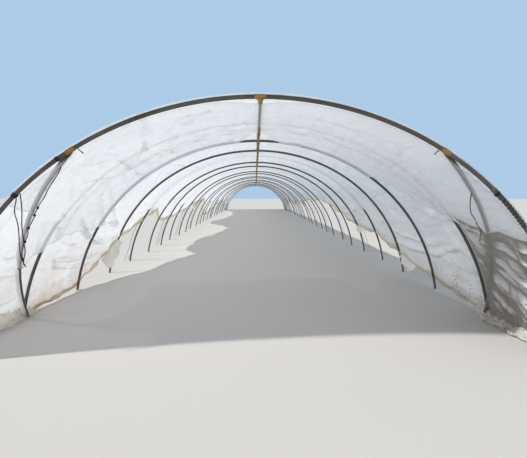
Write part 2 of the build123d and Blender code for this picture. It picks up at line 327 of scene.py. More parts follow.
def make_film(name, color, shade, through, clear, dirt, mud_and_shade=1.0):
    """Film of two tones. Through, clear and dirt are shares from 0 to 1."""
    mat, tree, shader = new_material(name, color, 0.38, 0.0, 0.4)
    where = coords(tree)
    broad = noise_mask(tree, where, 0.8, 0.32, 0.68)
    fine = noise_mask(tree, where, 6.0, 0.35, 0.7, detail=7.0)
    tone = blend_color(tree, broad, color, shade)
    tone = layer(tree, tone, fine, 0.5, darker(shade, 0.9))
    wiped = noise_mask(tree, coords(tree, scale=(5, 0.7, 5)), 2.6, 0.5, 0.74, detail=6.0)
    tone = layer(tree, tone, wiped, 0.4, darker(shade, 0.82))
    # Painted shade on fold flanks that face down, and painted highlights on flanks that face up.
    shade_flank = attribute_mask(tree, "flank", 0.08, 0.62)
    tone = layer(tree, tone, shade_flank, 0.75, darker(shade, 0.58))
    highlight_flank = attribute_mask(tree, "flank", -0.08, -0.5)
    tone = layer(tree, tone, highlight_flank, 0.7, PAINTED_HIGHLIGHT)
    dust = noise_mask(tree, where, 2.2, 0.3, 0.66, detail=7.0)
    tone = layer(tree, tone, within(tree, dust, where, ("Z", 1.0, 0.0)), dirt, DUST)
    splash = noise_mask(tree, where, 9.0, 0.3, 0.62, detail=6.0)
    splash = within(tree, splash, where, ("Z", 0.22, 0.02))
    tone = layer(tree, tone, splash, 0.8 * mud_and_shade, SPLASH)
    specks = noise_mask(tree, where, 34.0, 0.6, 0.64, detail=3.0)
    mud = times(tree, specks, noise_mask(tree, where, 5.0, 0.42, 0.56, detail=2.0))
    tone = blend_color(tree, within(tree, mud, where, *MUD_LIMITS), tone, MUD)
    # Painted shade: the film below the apron's edge at the front right turns brown-grey, except on
    # up-facing flanks.
    apron_shade_mask = within(tree, noise_mask(tree, where, 3.5, 0.2, 0.55), where, *PAINTED_APRON_SHADE_LIMITS)
    apron_shade_mask = times(tree, apron_shade_mask, attribute_mask(tree, "flank", -0.25, 0.05))
    tone = layer(tree, tone, apron_shade_mask, 0.9 * mud_and_shade, PAINTED_APRON_SHADE)
    tone = layer(tree, tone, spot_mask(tree, where, STAIN_AT, 0.05, 0.085), 0.8, OCHRE)
    crinkle = noise_mask(tree, where, 21.0, 0.0, 1.0, detail=6.0, rough=0.6)
    ripple = noise_mask(tree, coords(tree, scale=(1, 3.2, 1)), 3.2, 0.0, 1.0, detail=4.0)
    drawn = noise_mask(tree, coords(tree, scale=(2.6, 0.5, 2.6)), 3.0, 0.0, 1.0, detail=4.0)
    normal = bump(tree, crinkle, 0.008, 0.55)
    normal = bump(tree, ripple, 0.05, 0.4, normal)
    normal = bump(tree, drawn, 0.06, 0.45, normal)
    link(tree, tone, shader.inputs["Base Color"])
    link(tree, normal, shader.inputs["Normal"])
    glow = tree.nodes.new("ShaderNodeBsdfTranslucent")
    link(tree, tone, glow.inputs["Color"])
    link(tree, normal, glow.inputs["Normal"])
    bare = tree.nodes.new("ShaderNodeBsdfTransparent")
    surface = shader.outputs["BSDF"]
    for share, other in ((through, glow), (clear, bare)):
        mixer = tree.nodes.new("ShaderNodeMixShader")
        mixer.inputs["Fac"].default_value = share
        link(tree, surface, mixer.inputs[1])
        link(tree, other.outputs["BSDF"], mixer.inputs[2])
        surface = mixer.outputs["Shader"]
    link(tree, surface, tree.nodes["Material Output"].inputs["Surface"])
    return mat


cover_finish = make_film("cover_film", (0.93, 0.94, 0.95), (0.85, 0.87, 0.9), 0.54, 0.11, 0.7)
edge_finish = make_film("edge_film", (0.98, 0.98, 0.98), (0.94, 0.94, 0.95), 0.55, 0.0, 0.3)
spare_finish = make_film("spare_film", (0.97, 0.95, 0.9), (0.9, 0.87, 0.8), 0.45, 0.02, 0.2, 0.15)
apron_finish = make_film("apron_film", (0.97, 0.97, 0.98), (0.93, 0.93, 0.95), 0.74, 0.4, 0.3, 0.0)
# The skirt's dark brown-grey is partly dirt and partly painted shade.
skirt_shaded_finish = make_film("skirt_film", (0.42, 0.41, 0.39), (0.33, 0.31, 0.28), 0.36, 0.0, 0.3, 0.3)
hem_finish = make_film("hem_film", (0.96, 0.91, 0.78), (0.9, 0.82, 0.66), 0.55, 0.02, 0.2, 0.3)

# %% [markdown]
# The hoops, braces, ridge tube and hold-down ropes keep the frame's own shapes and only get a
# finish. A piece of the frame takes a material through its own list of slots, and its mesh isn't
# touched.


# %% Rope and tape finishes
def make_rope():
    mat, tree, shader = new_material("black_rope", (0.03, 0.03, 0.034), 0.8, 0.0, 0.25)
    where = coords(tree)
    strands = tree.nodes.new("ShaderNodeTexWave")
    strands.inputs["Scale"].default_value = 60.0
    strands.inputs["Distortion"].default_value = 1.5
    link(tree, where, strands.inputs["Vector"])
    tone = blend_color(tree, strands.outputs["Fac"], (0.008, 0.008, 0.01), (0.035, 0.035, 0.04))
    dusty = noise_mask(tree, where, 9.0, 0.45, 0.75)
    tone = layer(tree, tone, dusty, 0.2, (0.16, 0.13, 0.1))
    link(tree, tone, shader.inputs["Base Color"])
    link(tree, bump(tree, strands.outputs["Fac"], 0.001), shader.inputs["Normal"])
    return mat


def make_tape():
    mat, tree, shader = new_material("ochre_tape", (0.42, 0.25, 0.07), 0.62, 0.0, 0.4)
    where = coords(tree)
    faded = noise_mask(tree, where, 9.0, 0.38, 0.66)
    dark = noise_mask(tree, where, 34.0, 0.52, 0.68, detail=6.0)
    tone = blend_color(tree, faded, (0.25, 0.125, 0.03), (0.39, 0.245, 0.085))
    tone = layer(tree, tone, dark, 0.85, (0.07, 0.05, 0.03))
    link(tree, tone, shader.inputs["Base Color"])
    link(tree, bump(tree, dark, 0.0012), shader.inputs["Normal"])
    return mat


rope_finish = make_rope()
tape_finish = make_tape()


def dress(names, mat):
    for name in names:
        nodes[name].data.materials.clear()
        nodes[name].data.materials.append(mat)


dress(hoop_names + ["ridge_purlin"] + [n for n in nodes if n.endswith("_brace")], steel)
dress(["hold_down_ropes"], rope_finish)
print("dressed", len(hoop_names), "hoops")

# %% [markdown]
# The film is one surface, so it is made as a grid: rows along the tunnel, columns around the hoop.
# Girth is the way along the hoop from the ridge, negative on the left. Each grid point starts on
# the hoop's line and is then pushed out or in along the hoop's outward direction. That push is
# where all of the looks are: the film is tight over a hoop, slack between hoops, and pressed in by
# its ropes.


# %% Girth and back
SIDE_START = CROWN_R * CROWN_END


def girth_of(angle):
    return np.where(
        angle < CROWN_END, CROWN_R * angle, SIDE_START + SIDE_R * (angle - CROWN_END)
    )


def angle_of(girth):
    size = np.abs(girth)
    return np.where(size < SIDE_START, size / CROWN_R, CROWN_END + (size - SIDE_START) / SIDE_R)


def place(girth, y, out):
    """Grid points at a girth, pushed out from the hoop's line."""
    angle = angle_of(girth)
    on_crown = np.abs(girth) < SIDE_START
    side = np.where(girth < 0, -1.0, 1.0)
    centre_x = np.where(on_crown, CROWN_CENTRE[0], SIDE_CENTRE[0])
    centre_z = np.where(on_crown, CROWN_CENTRE[1], SIDE_CENTRE[1])
    radius = np.where(on_crown, CROWN_R, SIDE_R) + out
    x = side * (centre_x + radius * np.sin(angle))
    z = centre_z + radius * np.cos(angle)
    return np.stack([x, y, z], axis=-1)


def girth_at(height, out=SIDE_OUT):
    angle = np.arccos(np.clip((height - SIDE_CENTRE[1]) / (SIDE_R + out), -1, 1))
    return girth_of(angle)


GROUND_GIRTH = float(girth_at(0.0))
SLIT_GIRTH = float(girth_of(np.array((SLIT_TOP + SLIT_LOW) / 2)))
print("film is", round(2 * GROUND_GIRTH, 2), "m around, slits at", round(SLIT_GIRTH, 2))

# %% [markdown]
# The lower edge was tied up by hand at each hoop to let air in, so no two heights are the same.
# They are listed as pairs of a hoop number and a height, and the edge droops between two ties.

# %% Heights of the lower edge
SLIT_HEIGHT = arch(0.0685, SLIT_LOW).z
LEFT_EDGE = [(0, 0), (1, 0), (2, 0.08), (3, 0.634), (4, 0.86), (4.5, 1.07), (5, 0.783), (6, 0.783),
             (7, 0.79), (8, 1.035), (9, 1.135), (10, 1.22), (11, 1.02), (12, 0.545), (13, 0.41),
             (14, 0.5), (15, 0.76), (16, 0.84), (17, 0.84), (18, 1.02), (19, 0.83), (20, 0.925),
             (21, 0.75), (22, 0.783), (23, 0.49), (24, 0.086), (25, 0), (26, 0)]
RIGHT_EDGE = [(0, 0), (1, 0), (2, 0.157), (3, 0.36), (4, 0.587), (5, 0.65), (6, 0.87), (7, 1.15),
              (8, 1.236), (9, 1.19), (10, 1.174), (11, 1.174), (12, 1.09), (13, 0.844),
              (14, 1.017), (15, 1.048), (16, 0.844), (17, 0.79), (18, 0.926), (19, 0.83),
              (20, 0.858), (21, 0.735), (22, 0.595), (23, 0.376), (24, 0.068), (25, 0), (26, 0)]
DROOP = 0.05


def listed_height(pairs, hoops):
    return SLIT_HEIGHT * np.interp(hoops, [n for n, _ in pairs], [s for _, s in pairs])


def edge_height(pairs, y):
    """The height of an edge at each y, with its droop between hoops."""
    hoops = (y - FRONT) / BAY
    height = listed_height(pairs, hoops)
    slack = np.clip(height / 0.4, 0, 1)
    return np.maximum(height - DROOP * slack * np.sin(np.pi * (hoops % 1)) ** 2, 0.0)


# %% [markdown]
# Creases are sums of short soft ridges. Each has a middle, a direction, a length, a width and a
# height, and they are drawn with a fixed seed so that the film is the same every time. Bigger,
# named folds are listed one by one where they matter.


# %% Creases
def bell(distance, width):
    """1 in the middle of a soft ridge, falling to 0 at about twice its width."""
    return np.exp(-((distance / width) ** 2))


def crease_field(girth, y, marks):
    """The height of all the creases at each grid point."""
    field = np.zeros_like(girth)
    first_y, last_y = y.min(), y.max()
    for middle_g, middle_y, turn, length, width, height, curve in marks:
        if middle_y + 2 * length < first_y or middle_y - 2 * length > last_y:
            continue
        near = (np.abs(girth - middle_g) < 2 * length) & (np.abs(y - middle_y) < 2 * length)
        if not near.any():
            continue
        dg, dy = girth[near] - middle_g, y[near] - middle_y
        along = dg * math.cos(turn) + dy * math.sin(turn)
        off = -dg * math.sin(turn) + dy * math.cos(turn) - curve * along**2
        field[near] += height * bell(along, length) * bell(off, width)
    return field


def random_creases(rng, count, girths, ys, lengths, widths, height, turns):
    marks = []
    for _ in range(count):
        width = rng.uniform(*widths)
        marks.append((
            rng.uniform(*girths), rng.uniform(*ys), rng.uniform(*turns), rng.uniform(*lengths),
            width, rng.uniform(-1, 1) * height * width / widths[1], rng.uniform(-0.25, 0.25),
        ))
    return marks


def fold_field(girth, y, folds):
    """The height of listed folds, each a line of (girth, metres from the front hoop)."""
    field = np.zeros_like(girth)
    for width, height, line in folds:
        nearest = np.full_like(girth, 9.0)
        for (g0, y0), (g1, y1) in zip(line, line[1:]):
            dg, dy = g1 - g0, y1 - y0
            share = ((girth - g0) * dg + (y - FRONT - y0) * dy) / (dg * dg + dy * dy)
            share = np.clip(share, 0, 1)
            gap = np.hypot(girth - g0 - share * dg, y - FRONT - y0 - share * dy)
            nearest = np.minimum(nearest, gap)
        field += height * np.exp(-((nearest / width) ** 1.4))
    return field


def waves(girth, y, count, shortest, longest, seed):
    """Slow random swells, the sum of a few sine waves in random directions."""
    rng = random.Random(seed)
    field = np.zeros_like(girth)
    for _ in range(count):
        turn, step = rng.uniform(0, 2 * math.pi), rng.uniform(shortest, longest)
        start = rng.uniform(0, 2 * math.pi)
        phase = (girth * math.cos(turn) + y * math.sin(turn)) * 2 * math.pi / step + start
        field += np.sin(phase + 0.8 * np.sin(y * 1.7 + girth * 1.3 + start)) * step
    return field / (count * longest)


# %% [markdown]
# A grid of points becomes a mesh with one face for each cell. Its UV map is the girth and the
# length in metres, and an attribute tells the finish where the film turns down. Rolls, wraps and
# cords are tubes, made from rings of points in the same way.


# %% Grid to mesh
def flanks(push, girth, y):
    """How much the film turns down or back at each point, for the painted shade and highlights on
    folds.
    """
    size = np.abs(girth)
    across = np.gradient(push, axis=1) / np.where(
        np.abs(np.gradient(size, axis=1)) < 1e-4, 1e-4, np.gradient(size, axis=1)
    )
    along = np.gradient(push, axis=0) / np.gradient(y, axis=0)
    return np.clip(across + 0.45 * along * np.sign(girth + 0.001), -1, 1)


def grid_piece(name, points, girth, y, mat, keep=None, push=None):
    rows, cols = points.shape[:2]
    index = np.arange(rows * cols).reshape(rows, cols)
    cells = np.stack(
        [index[:-1, :-1], index[1:, :-1], index[1:, 1:], index[:-1, 1:]], axis=-1
    )[:, :, ::-1]
    cells = cells.reshape(-1, 4) if keep is None else cells[keep]
    mesh = bpy.data.meshes.new(name)
    mesh.from_pydata(points.reshape(-1, 3), [], cells)
    mesh.update()
    uv = mesh.uv_layers.new(name="metres")
    at = np.zeros(len(mesh.loops), dtype=np.int32)
    mesh.loops.foreach_get("vertex_index", at)
    flat = np.stack([girth.ravel(), y.ravel()], axis=-1)[at]
    uv.data.foreach_set("uv", flat.astype(np.float32).ravel())
    mesh.polygons.foreach_set("use_smooth", np.ones(len(mesh.polygons), dtype=bool))
    if push is not None:
        flank = mesh.attributes.new("flank", "FLOAT", "POINT")
        flank.data.foreach_set("value", flanks(push, girth, y).astype(np.float32).ravel())
    mesh.materials.append(mat)
    piece = put_in_scene(name, mesh)
    up = sum(p.normal.z for p in mesh.polygons if abs(p.center.x) < 0.3)
    if up < 0:
        mesh.flip_normals()
    if keep is not None:
        clear_loose(piece)
    return piece


def edit_whole(piece):
    """Edit mode on one piece, with all of it selected."""
    bpy.ops.object.select_all(action="DESELECT")
    piece.select_set(True)
    bpy.context.view_layer.objects.active = piece
    bpy.ops.object.mode_set(mode="EDIT")
    bpy.ops.mesh.select_all(action="SELECT")


def clear_loose(piece):
    edit_whole(piece)
    bpy.ops.mesh.delete_loose(use_verts=True, use_edges=True, use_faces=False)
    bpy.ops.object.mode_set(mode="OBJECT")


def face_outward(piece):
    """Turns all faces outwards and shades them smooth."""
    edit_whole(piece)
    bpy.ops.mesh.normals_make_consistent(inside=False)
    bpy.ops.object.mode_set(mode="OBJECT")
    bpy.ops.object.shade_smooth()


def tube_piece(name, points, rings, sides, mat):
    """A closed tube from rings of points, with a cap at each end."""
    faces = []
    for r in range(rings - 1):
        for k in range(sides):
            n = (k + 1) % sides
            faces.append((r * sides + k, r * sides + n, (r + 1) * sides + n, (r + 1) * sides + k))
    faces.append(tuple(reversed(range(sides))))
    faces.append(tuple(range((rings - 1) * sides, rings * sides)))
    mesh = bpy.data.meshes.new(name)
    mesh.from_pydata(points, [], faces)
    mesh.materials.append(mat)
    piece = put_in_scene(name, mesh)
    face_outward(piece)
    return piece


def declare_sheet(piece, flat, stands_for=()):
    """Prints a sheet's faces and area and puts it under the root, hiding the parts it stands for.
    Its area is the mesh's, or the flat size if that is less.
    """
    area = sum(p.area for p in piece.data.polygons)
    print(piece.name, len(piece.data.polygons), "faces", round(area, 2), "square metres")
    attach(piece, "root")
    if stands_for:
        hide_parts(*stands_for)
    area = min(area, flat[0] * flat[1])


# %% [markdown]
# Now the push of the cover film. Over a hoop it is tight. Between hoops it billows out by about
# two centimetres, except where the hold-down rope presses a valley. Above the slits the film lies
# under every third hoop, and below them it passes outside that hoop's legs.


# %% Push of the cover film
ROPE_STEP_IN = 0.15
ROPE_FOOT_X = 3.39
BILLOW, SWELL, SAG = 0.024, 0.04, 0.035
PLEAT, PLEAT_STEP = 0.005, 0.15
DRAPE, DRAPE_STEP = 0.008, 0.19


def rope_y(x, y):
    """Where the hold-down rope of the bay at y crosses this x."""
    bay = np.floor((y - FRONT) / BAY).clip(0, BAYS - 1)
    start = FRONT + bay * BAY + ROPE_STEP_IN
    share = (x + ROPE_FOOT_X) / (2 * ROPE_FOOT_X)
    share = np.where(bay % 2 == 1, 1 - share, share)
    return start + share * (BAY - 2 * ROPE_STEP_IN)


def cover_push(girth, y, marks):
    """How far the cover lies outside the hoop's line. Marks are its creases."""
    hoops = (y - FRONT) / BAY
    between = np.sin(np.pi * hoops) ** 2
    size = np.abs(girth)
    to_outer = np.abs((hoops - 1 + OUTER_EVERY / 2) % OUTER_EVERY - OUTER_EVERY / 2)
    past_leg = np.cos(np.clip(to_outer, 0, 1) * np.pi / 2) ** 2
    low = np.clip((size - SLIT_GIRTH) / 0.16 + 0.5, 0, 1)
    low = low * low * (3 - 2 * low)
    base = FILM_OUT + low * (SIDE_OUT - FILM_OUT) * past_leg
    x = place(girth, y, 0.0)[..., 0]
    from_rope = y - rope_y(x, y)
    pressed = bell(from_rope, 0.1) * (1 - 0.7 * low)
    billow = BILLOW * between * (1 - pressed)
    slack = 0.3 + 1.0 * np.clip((size - 1.2) / 2.2, 0, 1)
    swell = SWELL * waves(girth, y, 9, 0.35, 1.6, 11) * between * slack
    sag = -SAG * between * low
    pull = np.abs(hoops - np.round(hoops)) * BAY
    pleats = np.sin(girth * 2 * math.pi / PLEAT_STEP + 5 * np.sin(hoops * 2.1) + girth**2)
    pleats = PLEAT * pleats * np.exp(-pull / 0.25) * (1 - bell(pull, 0.04))
    drape = np.sin((size + 0.11 * between) * 2 * math.pi / DRAPE_STEP + 3 * np.sin(hoops * 1.3))
    drape = DRAPE * drape * low * between * (0.5 + 0.5 * np.sin(hoops * 2.3 + girth))
    folds = crease_field(girth, y, marks) * (0.25 + 0.75 * between)
    named = fold_field(girth, y, COVER_FOLDS) * (1 - bell(pull, 0.12))
    return base + billow + swell + sag + pleats + drape + folds + named


# %% [markdown]
# Some folds are large enough to name: slack that hangs in swags beside the second hoop on the
# left, and folds that fan out from the right shoulder of the first bay down to the ground. Each is
# a line of points on the film, with a width and a depth. A minus means that it hangs inwards.

# %% Folds of the cover, listed one by one
COVER_FOLDS = [
    (0.04, -0.075, [(-3.32, 2.43), (-3.52, 2.82), (-3.66, 3.21), (-3.74, 3.64), (-3.74, 4.15),
                     (-3.64, 4.49)]),
    (0.035, -0.05, [(-3.09, 2.12), (-3.38, 2.6), (-3.55, 3.1)]),
    (0.05, -0.03, [(-2.9, 2.14), (-3.23, 2.65), (-3.62, 3.34)]),
    (0.06, -0.035, [(-2.66, 2.19), (-3.03, 2.83), (-3.47, 3.54)]),
    (0.06, -0.03, [(-2.44, 2.18), (-2.82, 2.96), (-3.38, 4.05)]),
    (0.035, -0.055, [(-3.83, 1.96), (-3.9, 2.57), (-3.99, 3.39), (-3.95, 4.07)]),
    (0.03, -0.05, [(-3.94, 2.02), (-4.07, 2.61), (-4.13, 3.27), (-4.1, 3.93)]),
    (0.05, -0.03, [(-4.27, 2.44), (-4.29, 3.15), (-4.26, 4.03)]),
    (0.05, -0.03, [(-3.6, 0.1), (-3.75, 0.6), (-3.86, 1.2), (-3.9, 1.8)]),
    (0.06, -0.035, [(-4.1, 0.1), (-4.2, 0.7), (-4.18, 1.4)]),
    (0.025, -0.02, [(3.3, 1.3), (3.45, 0.9), (3.55, 0.5), (3.6, 0.05)]),
    (0.03, -0.03, [(3.6, 1.75), (4.05, 1.5), (4.4, 1.1), (4.5, 0.9)]),
    (0.045, -0.06, [(3.85, 4.43), (3.87, 3.43), (3.84, 2.62)]),
    (0.04, -0.04, [(3.86, 2.63), (3.72, 2.15), (3.58, 1.75)]),
    (0.045, -0.04, [(3.56, 4.42), (3.66, 3.25), (3.68, 2.57)]),
    (0.03, -0.035, [(3.15, 1.75), (3.54, 1.51), (3.9, 1.06), (4.09, 0.64), (4.2, 0.1)]),
    (0.025, -0.03, [(3.23, 1.63), (3.55, 1.28), (3.8, 0.91), (3.9, 0.57), (3.95, 0.1)]),
    (0.035, -0.035, [(3.38, 1.92), (3.85, 1.72), (4.23, 1.19), (4.37, 0.72)]),
    (0.04, -0.035, [(2.41, 5.42), (2.63, 5.1), (2.68, 4.32), (2.57, 3.28)]),
    (0.05, -0.02, [(-1.75, 2.28), (-1.52, 4.67), (-1.4, 6.2)]),
    (0.05, -0.03, [(3.3, 5.9), (3.42, 5.2), (3.35, 4.6)]),
    (0.05, -0.03, [(-3.2, 6.0), (-3.36, 5.2), (-3.25, 4.6)]),
]


def cover_marks():
    rng = random.Random(11)
    around, whole, near = (-GROUND_GIRTH, GROUND_GIRTH), (FRONT, REAR), (FRONT, FRONT + 6)
    marks = random_creases(rng, 1000, around, whole, (0.12, 0.6), (0.02, 0.07), 0.027, (0.9, 2.3))
    marks += random_creases(rng, 380, around, whole, (0.3, 0.9), (0.03, 0.09), 0.024, (-0.5, 0.5))
    marks += random_creases(rng, 480, around, near, (0.08, 0.4), (0.012, 0.035), 0.015, (0.0, 3.1))
    for side in (-1, 1):
        lower = tuple(sorted((side * 2.9, side * GROUND_GIRTH)))
        marks += random_creases(
            rng, 460, lower, whole, (0.2, 0.7), (0.025, 0.07), 0.052, (1.25, 1.9)
        )
    return marks


COVER_MARKS = cover_marks()
print("creases", len(COVER_MARKS), "named folds", len(COVER_FOLDS))

# %% [markdown]
# The first three bays are seen from close by, so they get a cell every two centimetres. The rest
# of the cover has fewer. All three pieces read the same creases, so they meet without a step.

# %% Cover film, three pieces
FILM_WIDTH, NEAR_END = 9.4, FRONT + 3 * BAY
PAST_HOOP, FLOOR_GAP = 0.03, 0.002


def rows_between(first, last, step):
    return np.linspace(first, last, max(2, round((last - first) / step) + 1))


def film_grid(rows, left, right, columns):
    """Girth and y of a grid. The two edges are given as a girth for each row."""
    share = np.linspace(0, 1, columns)[None, :]
    girth = -left[:, None] * (1 - share) + right[:, None] * share
    return girth, np.repeat(rows[:, None], columns, axis=1)


def cover_part(name, rows, columns):
    left = girth_at(edge_height(LEFT_EDGE, rows))
    right = girth_at(edge_height(RIGHT_EDGE, rows))
    girth, y = film_grid(rows, left, right, columns)
    push = cover_push(girth, y, COVER_MARKS)
    points = place(girth, y, push)
    points[..., 2] = np.maximum(points[..., 2], FLOOR_GAP)
    piece = grid_piece(name, points, girth, y, cover_finish, push=push)
    strips = []
    for word in ("left", "right"):
        strips += [f"{word}_{kind}_film" for kind in ("roof", "shoulder", "side")]
    flat = (FILM_WIDTH, round(float(rows[-1] - rows[0]), 3))
    declare_sheet(piece, flat, strips)


cover_part("cover_film_near", rows_between(FRONT - PAST_HOOP, NEAR_END, 0.0205), 400)
cover_part("cover_film_middle", rows_between(NEAR_END, 0.0, 0.07), 260)
cover_part("cover_film_rear", rows_between(0.0, REAR + PAST_HOOP, 0.08), 200)

# %% [markdown]
# The hem is the lower edge of the film folded over into a cream band, and where the side is raised
# the spare film is rolled in it. It follows the edge of the cover, a little thicker and crumpled.


# %% Hems
HEM_R = 0.042


def hem(name, side, pairs, node, seed):
    rows = rows_between(FRONT + 0.05, REAR - 0.05, 0.05)
    height = edge_height(pairs, rows)
    sides = 10
    girth = side * girth_at(height)
    edge_push = cover_push(girth[:, None], rows[:, None], COVER_MARKS)[:, 0]
    middle = place(girth, rows, edge_push)
    around = np.linspace(0, 2 * np.pi, sides, endpoint=False)
    crumple = np.array([
        [0.75 + 0.9 * noise_at(y * 5, math.cos(a) * 0.8 + seed, math.sin(a) * 0.8)
         for a in around] for y in rows
    ])
    raised = np.clip(height / 0.5, 0.25, 1)[:, None]
    swing = np.sin(rows * 3.1 + seed)[:, None] * 0.3
    across_r = HEM_R * crumple * raised * 0.8
    tall_r = HEM_R * crumple * (0.8 + 0.8 * raised)
    x = middle[:, None, 0] + across_r * np.cos(around + swing)
    z = middle[:, None, 2] + tall_r * np.sin(around + swing) + HEM_R * 0.6
    y = np.repeat(rows[:, None], sides, axis=1)
    points = np.stack([x, y, np.maximum(z, FLOOR_GAP)], axis=-1)
    piece = tube_piece(name, points.reshape(-1, 3), len(rows), sides, hem_finish)
    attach(piece, "root")
    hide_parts(node)
    print(name, len(piece.data.polygons), "faces")


hem("left_hem_roll", -1, LEFT_EDGE, "left_hem", 3.0)
hem("right_hem_roll", 1, RIGHT_EDGE, "right_hem", 8.0)

# %% [markdown]
# Each end brace is one arc from the foot of the second hoop up to the shoulder of the front hoop.
# It bows inwards, so the slack film and the ropes beside it need to know where it runs. The arc
# goes through three points, and its inset and its place along the tunnel are then read off at any
# angle.

# %% Line of the braces
BRACE_IN, BRACE_BOW = 0.004, 0.05
BRACE_TOP, BRACE_EXTRA = math.radians(31.5), math.radians(5)
BELOW_GROUND = 0.2


def arc_through(first, middle, last):
    """A function from 0 to 1 along the arc through three points."""
    a, b = middle - first, last - first
    normal = a.cross(b)
    centre = first + (b.length_squared * normal.cross(a) + a.length_squared * b.cross(normal)) / (
        2 * normal.length_squared
    )
    x_axis = (first - centre).normalized()
    y_axis = normal.normalized().cross(x_axis)
    radius = (first - centre).length
    end = last - centre
    whole = math.atan2(end.dot(y_axis), end.dot(x_axis)) % (2 * math.pi)

    def at(share):
        turn = whole * share
        return centre + radius * (math.cos(turn) * x_axis + math.sin(turn) * y_axis)

    return at


def brace_arc(side):
    top = arch(-BRACE_IN, BRACE_TOP)
    low, high = angle_at(-BRACE_IN, -BELOW_GROUND), BRACE_TOP - BRACE_EXTRA

    def point(angle):
        bowed = 4 * (low - angle) * (angle - BRACE_TOP) / (low - BRACE_TOP) ** 2
        here = arch(-BRACE_IN - BRACE_BOW * bowed, angle, side)
        return Vector((here.x, hoop_y(1) + (FRONT - hoop_y(1)) * here.z / top.z, here.z))

    return arc_through(point(low), point((low + high) / 2), point(high)), low, high


def brace_samples():
    """Angles down the brace, with its inset and its distance behind the front hoop at each."""
    arc, low, high = brace_arc(1)
    angles, insets, backs = [], [], []
    for k in range(121):
        here = arc(1 - k / 120)
        from_side = Vector((here.x - SIDE_CENTRE[0], 0, here.z - SIDE_CENTRE[1]))
        from_crown = Vector((here.x, 0, here.z - CROWN_CENTRE[1]))
        angle, inset = math.atan2(from_crown.x, from_crown.z), CROWN_R - from_crown.length
        if angle >= CROWN_END:
            angle, inset = math.atan2(from_side.x, from_side.z), SIDE_R - from_side.length
        angles.append(angle)
        insets.append(inset)
        backs.append(here.y - FRONT)
    return np.array(angles), np.array(insets), np.array(backs)


BRACE_ANGLES, BRACE_INSETS, BRACE_BACKS = brace_samples()
print("brace bows in by", round(float(BRACE_INSETS.max()), 3))

# %% [markdown]
# Inside the first two bays hangs a second, slack layer. It starts under the front hoop, passes
# under the ridge tube, is draped over the inner side of both braces and hangs from the third hoop.
# Its lower edge is uneven, and at the ridge it opens in a V behind the second hoop. It is thinner
# than the cover, so more light comes through, and the hoops behind it show as faint lines.

# %% Apron film
APRON_END = hoop_y(2) + 0.06
APRON_LEFT = [(0, 1.22), (0.24, 1.19), (0.3, 1.08), (0.56, 0.66), (0.62, 0.63), (0.84, 0.79),
              (1.19, 0.9), (1.6, 0.86), (2, 0.9), (2.04, 0.92)]
APRON_RIGHT = [(0, 0.94), (1, 1.134), (2, 1.634)]
NOTCH_HALF, APRON_WIDTH = 0.4, 7.4
APRON_REST, APRON_SKIN, APRON_IN, UNDER_RIDGE = 0.0235, 0.0015, 0.06, 0.058
APRON_FOLDS = [
    (0.06, -0.03, [(-2.03, 0.43), (-1.87, 0.79), (-1.52, 0.95), (-1.1, 1.15), (-0.6, 1.1)]),
    (0.07, -0.035, [(-2.24, 0.93), (-2.05, 1.53), (-1.62, 1.72), (-1.23, 2.07), (-0.8, 2.3)]),
    (0.05, 0.025, [(-1.7, 0.2), (-1.85, 0.9), (-1.95, 1.6), (-2.1, 2.4)]),
    (0.05, -0.03, [(-2.56, 1.98), (-2.19, 2.28), (-1.7, 2.54)]),
    (0.045, 0.03, [(-1.0, 0.15), (-1.35, 0.6), (-1.55, 1.05)]),
    (0.05, -0.025, [(-0.5, 0.3), (-0.9, 0.75), (-1.2, 1.4), (-1.35, 2.2)]),
    (0.05, 0.03, [(-2.9, 1.9), (-2.7, 2.3), (-2.55, 2.8)]),
    (0.06, -0.035, [(0.45, 1.1), (0.9, 1.03), (1.42, 1.17), (1.79, 1.08), (2.1, 1.25)]),
    (0.045, 0.03, [(1.95, 1.35), (1.94, 0.77), (1.9, 0.3)]),
    (0.05, -0.025, [(1.75, 0.9), (1.62, 0.4), (1.68, 0.08)]),
    (0.06, -0.04, [(1.75, 1.26), (2.33, 1.75), (2.61, 1.45)]),
    (0.05, 0.03, [(2.66, 1.2), (2.5, 0.95), (2.38, 0.38)]),
    (0.05, -0.03, [(0.4, 0.5), (0.8, 0.4), (1.3, 0.5), (1.6, 0.75)]),
    (0.05, 0.03, [(0.7, 1.5), (1.1, 1.7), (1.5, 2.2), (1.7, 2.7)]),
    (0.04, -0.035, [(2.75, 1.35), (2.9, 0.95), (3.0, 0.5), (3.02, 0.1)]),
]
APRON_AREA = ((-3.7, 3.4), (FRONT, APRON_END))
APRON_MARKS = random_creases(
    random.Random(31), 420, *APRON_AREA, (0.2, 0.9), (0.02, 0.08), 0.026, (0.3, 2.8)
) + random_creases(
    random.Random(32), 110, *APRON_AREA, (0.5, 1.4), (0.04, 0.11), 0.03, (-0.4, 0.4)
)


def apron_edge(pairs, y):
    hoops = (y - FRONT) / BAY
    scallop = 0.02 * np.sin(hoops * 9.0) + 0.014 * np.sin(hoops * 23.0 + 1.0)
    height = listed_height(pairs, hoops) + scallop
    high = height > SIDE_CENTRE[1] + SIDE_R * math.cos(CROWN_END)
    on_side = girth_at(np.minimum(height, 2.0), -APRON_IN)
    crown = (height - CROWN_CENTRE[1]) / (CROWN_R - APRON_IN)
    return np.where(high, CROWN_R * np.arccos(np.clip(crown, -1, 1)), on_side)


